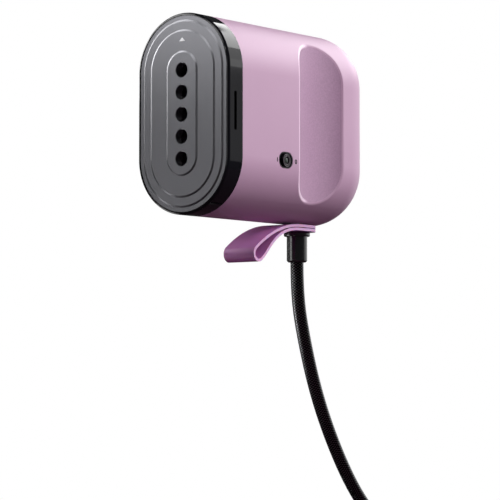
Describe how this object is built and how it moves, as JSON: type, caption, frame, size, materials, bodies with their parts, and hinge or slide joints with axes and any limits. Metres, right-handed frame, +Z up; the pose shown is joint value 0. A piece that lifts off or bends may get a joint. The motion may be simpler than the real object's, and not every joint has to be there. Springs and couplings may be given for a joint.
{
  "type": "garment steamer",
  "caption": "Hand-held garment steamer: pill-shaped body, stepped sole plate with steam jets, side scoops, slide switch, wrist strap and braided cord with plug.",
  "frame": {"origin": "middle of the grip, between the two side scoops on the body's centre line", "axes": "+Z up, the sole plate faces -Y and the rear +Y, +X towards the side with the power switch"},
  "size_m": [0.1128, 0.2319, 0.298],
  "materials": {
    "shell_pink": "soft satin, light pink lilac",
    "grip_soft": "matt soft-touch lilac grey",
    "band_black": "high gloss",
    "plate_grey": "smooth ceramic coat",
    "bung_pink": "satin",
    "well_black": "fine grain",
    "inner_black": "moulded",
    "inner_white": "moulded",
    "tank_clear": "translucent moulded",
    "seal": "silicone",
    "cast": "as cast",
    "heater_steel": "satin",
    "zinc": "zinc plated",
    "copper_coil": "taped winding",
    "board_green": "solder mask",
    "hose_white": "silicone",
    "wire": "insulated",
    "bush_black": "gloss",
    "strap_plum": "silicone",
    "cord_braid": "braided textile",
    "plug_black": "fine grain",
    "pin_metal": "nickel plated",
    "knob_dark": "satin, dark"
  },
  "bodies": {
    "housing": {"sole_plate": "plate_grey", "plate_gasket": "seal", "chamber_gasket": "seal", "head_band": "band_black", "steam_chamber": "cast", "heating_element": "heater_steel", "thermostat": "zinc", "thermal_fuse": "inner_white", "fuse_clip": "zinc", "body_shell": "shell_pink", "grip_pad_right": "grip_soft", "grip_pad_left": "grip_soft", "switch_bezel": "well_black", "switch_housing": "inner_black", "filler_neck": "tank_clear", "chassis": "inner_black", "heat_shield": "zinc", "water_tank": "tank_clear", "tank_cover": "tank_clear", "pump_coil": "copper_coil", "pump_bracket": "zinc", "pump_barrel": "inner_white", "pump_spring": "heater_steel", "suction_hose": "hose_white", "pressure_hose": "hose_white", "control_board": "board_green", "board_parts": "inner_black", "terminal_block": "inner_white", "wiring": "wire", "cord_bush": "bush_black", "bush_nut": "inner_black", "cord_tail": "cord_braid", "cord_clamp": "inner_black", "power_cord": "cord_braid", "plug_lead": "cord_braid", "cord_coil": "cord_braid", "coil_tie": "plug_black", "plug_body": "plug_black", "plug_pins": "pin_metal", "head_screws": "zinc", "chassis_screws": "zinc", "clamp_screws": "zinc"},
    "strap": {"wrist_strap": "strap_plum"},
    "switch": {"switch_knob": "knob_dark", "switch_slider": "inner_black"},
    "bung": {"filler_bung": "bung_pink"},
    "plunger": {"pump_plunger": "heater_steel"}
  },
  "joints": [
    {"name": "power_switch_slide", "type": "slide", "parent": "housing", "child": "switch", "axis": [0, -1, 0], "range_m": [0, 0.002]},
    {"name": "filler_bung_pull", "type": "slide", "parent": "housing", "child": "bung", "axis": [-1, 0, 0], "range_m": [0, 0.02]},
    {"name": "strap_swivel", "type": "hinge", "parent": "housing", "child": "strap", "pos_m": [0, 0.0183, -0.055], "axis": [0, 0, 1], "range_deg": [-150, 150]},
    {"name": "pump_stroke", "type": "slide", "parent": "housing", "child": "plunger", "axis": [0, 1, 0], "range_m": [0, 0.0025], "stiffness_N_per_m": 60, "deforming": ["pump_spring"]}
  ]
}
